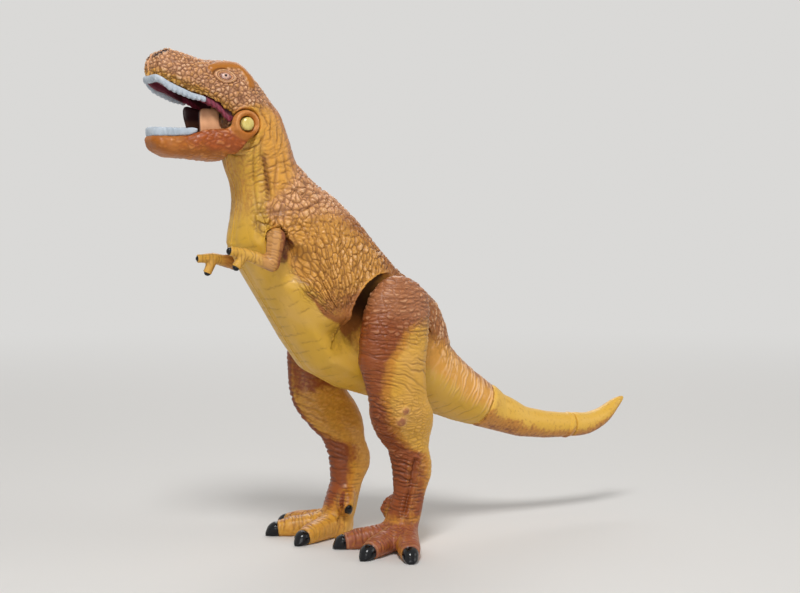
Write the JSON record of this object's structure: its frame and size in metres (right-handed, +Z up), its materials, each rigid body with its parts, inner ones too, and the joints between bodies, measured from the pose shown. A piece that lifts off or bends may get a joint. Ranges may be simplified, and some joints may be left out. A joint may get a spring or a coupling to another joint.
{
  "type": "toy dinosaur figure",
  "caption": "Standing moulded toy dinosaur with a hinged jaw, swinging legs and arms, and a tail that swivels at its root and near its tip.",
  "frame": {"origin": "on the floor, under the middle of the figure's box", "axes": "+Z up, nose towards -X, tail towards +X, the animal's left side towards -Y"},
  "size_m": [0.14, 0.0558, 0.1181],
  "materials": {
    "body_skin": "painted, satin",
    "mouth_lining": "painted, satin",
    "teeth": "semi-gloss",
    "jaw_skin": "painted, satin",
    "mouth_flesh": "satin",
    "pin_plastic": "semi-gloss",
    "arm_skin": "painted, satin",
    "leg_skin": "painted, satin",
    "pivot_plastic": "moulded",
    "tail_skin": "painted, satin"
  },
  "bodies": {
    "torso": {"torso_shell_left": "body_skin", "torso_shell_right": "body_skin", "palate": "mouth_lining", "upper_teeth": "teeth"},
    "jaw": {"lower_jaw": "jaw_skin", "lower_teeth": "teeth", "mouth_floor": "mouth_flesh", "jaw_pin": "pin_plastic"},
    "arm_left": {"left_arm": "arm_skin"},
    "arm_right": {"right_arm": "arm_skin"},
    "leg_left": {"left_leg": "leg_skin", "left_hip_pivot": "pivot_plastic"},
    "leg_right": {"right_leg": "leg_skin", "right_hip_pivot": "pivot_plastic"},
    "tail_middle": {"tail_mid": "tail_skin"},
    "tail_end": {"tail_tip": "tail_skin", "tail_tip_pin": "pin_plastic"}
  },
  "joints": [
    {"name": "jaw_hinge", "type": "hinge", "parent": "torso", "child": "jaw", "pos_m": [-0.04947, 0, 0.10127], "axis": [0, 1, 0], "range_deg": [-8, 24]},
    {"name": "shoulder_left", "type": "hinge", "parent": "torso", "child": "arm_left", "pos_m": [-0.04322, -0.0086, 0.07562], "axis": [0, 1, 0], "range_deg": [-20, 90]},
    {"name": "shoulder_right", "type": "hinge", "parent": "torso", "child": "arm_right", "pos_m": [-0.04322, 0.0086, 0.07562], "axis": [0, 1, 0], "range_deg": [-9, 101]},
    {"name": "hip_left", "type": "hinge", "parent": "torso", "child": "leg_left", "pos_m": [-0.01446, -0.0098, 0.056], "axis": [0, 1, 0], "range_deg": [-25, 30]},
    {"name": "hip_right", "type": "hinge", "parent": "torso", "child": "leg_right", "pos_m": [-0.01446, 0.0098, 0.056], "axis": [0, 1, 0], "range_deg": [-30, 20]},
    {"name": "tail_swivel", "type": "hinge", "parent": "torso", "child": "tail_middle", "pos_m": [0.02079, 0, 0.03218], "axis": [0.8888, 0, -0.4582], "continuous": true},
    {"name": "tail_tip_swivel", "type": "hinge", "parent": "tail_middle", "child": "tail_end", "pos_m": [0.05106, 0, 0.02446], "axis": [0.9992, 0, -0.0394], "continuous": true}
  ]
}
